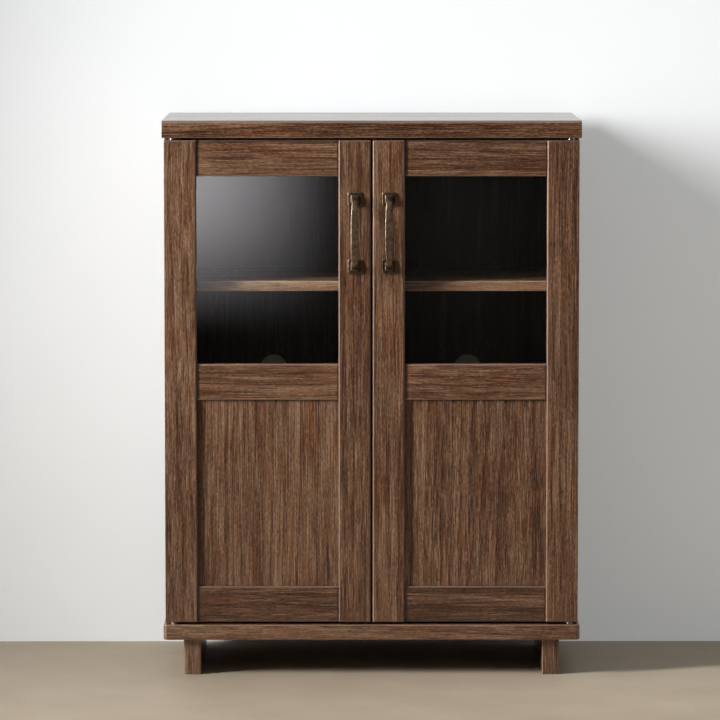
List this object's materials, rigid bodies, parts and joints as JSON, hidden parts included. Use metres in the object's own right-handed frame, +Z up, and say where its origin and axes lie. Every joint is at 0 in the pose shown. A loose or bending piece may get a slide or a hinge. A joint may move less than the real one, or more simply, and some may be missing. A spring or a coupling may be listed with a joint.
{
  "type": "glass-front cabinet",
  "caption": "small walnut cabinet on plank feet, its framed doors glazed above and panelled below, with cast bow handles",
  "frame": {"origin": "on the floor, at the middle of the bounding box", "axes": "+X to the viewer's right, +Y from the doors to the back panel, +Z up"},
  "size_m": [0.6, 0.322, 0.8],
  "materials": {
    "walnut_veneer": "satin lacquer",
    "walnut_interior": "satin printed foil",
    "clear_float_glass": "clear",
    "antiqued_brass": "antiqued, rubbed",
    "turned_brass": "turned",
    "zinc_plated_steel": "zinc plated",
    "die_cast_zinc": "as cast",
    "beech": "fluted, raw",
    "brown_plastic": "matte",
    "ferrite": "matte, ground"
  },
  "bodies": {
    "carcass": {"back_panel": "walnut_interior", "bottom_board": "walnut_veneer", "cam_bolts": "zinc_plated_steel", "cam_locks": "die_cast_zinc", "case_dowels": "beech", "centre_partition": "walnut_interior", "foot_screws": "zinc_plated_steel", "left_catch": "brown_plastic", "left_catch_magnet": "ferrite", "left_catch_screws": "zinc_plated_steel", "left_fixed_shelf": "walnut_interior", "left_foot": "walnut_veneer", "left_lower_shelf": "walnut_interior", "left_pivot_pins": "zinc_plated_steel", "left_shelf_pins": "zinc_plated_steel", "left_side_panel": "walnut_veneer", "left_upper_shelf": "walnut_interior", "panel_screws": "zinc_plated_steel", "right_catch": "brown_plastic", "right_catch_magnet": "ferrite", "right_catch_screws": "zinc_plated_steel", "right_fixed_shelf": "walnut_interior", "right_foot": "walnut_veneer", "right_lower_shelf": "walnut_interior", "right_pivot_pins": "zinc_plated_steel", "right_shelf_pins": "zinc_plated_steel", "right_side_panel": "walnut_veneer", "right_upper_shelf": "walnut_interior", "shelf_dowels": "beech", "top_board": "walnut_veneer"},
    "left_door": {"left_beads": "walnut_veneer", "left_bottom_rail": "walnut_veneer", "left_bushes": "turned_brass", "left_frame_dowels": "beech", "left_glass": "clear_float_glass", "left_handle": "antiqued_brass", "left_handle_screws": "zinc_plated_steel", "left_hinge_stile": "walnut_veneer", "left_meeting_stile": "walnut_veneer", "left_mid_rail": "walnut_veneer", "left_panel": "walnut_veneer", "left_strike": "zinc_plated_steel", "left_strike_screw": "zinc_plated_steel", "left_top_rail": "walnut_veneer"},
    "right_door": {"right_beads": "walnut_veneer", "right_bottom_rail": "walnut_veneer", "right_bushes": "turned_brass", "right_frame_dowels": "beech", "right_glass": "clear_float_glass", "right_handle": "antiqued_brass", "right_handle_screws": "zinc_plated_steel", "right_hinge_stile": "walnut_veneer", "right_meeting_stile": "walnut_veneer", "right_mid_rail": "walnut_veneer", "right_panel": "walnut_veneer", "right_strike": "zinc_plated_steel", "right_strike_screw": "zinc_plated_steel", "right_top_rail": "walnut_veneer"}
  },
  "joints": [
    {"name": "left_door_hinge", "type": "hinge", "parent": "carcass", "child": "left_door", "pos_m": [-0.285, -0.127, 0.4245], "axis": [0, 0, -1], "range_deg": [0, 110]},
    {"name": "right_door_hinge", "type": "hinge", "parent": "carcass", "child": "right_door", "pos_m": [0.285, -0.127, 0.4245], "axis": [0, 0, 1], "range_deg": [0, 110]}
  ]
}
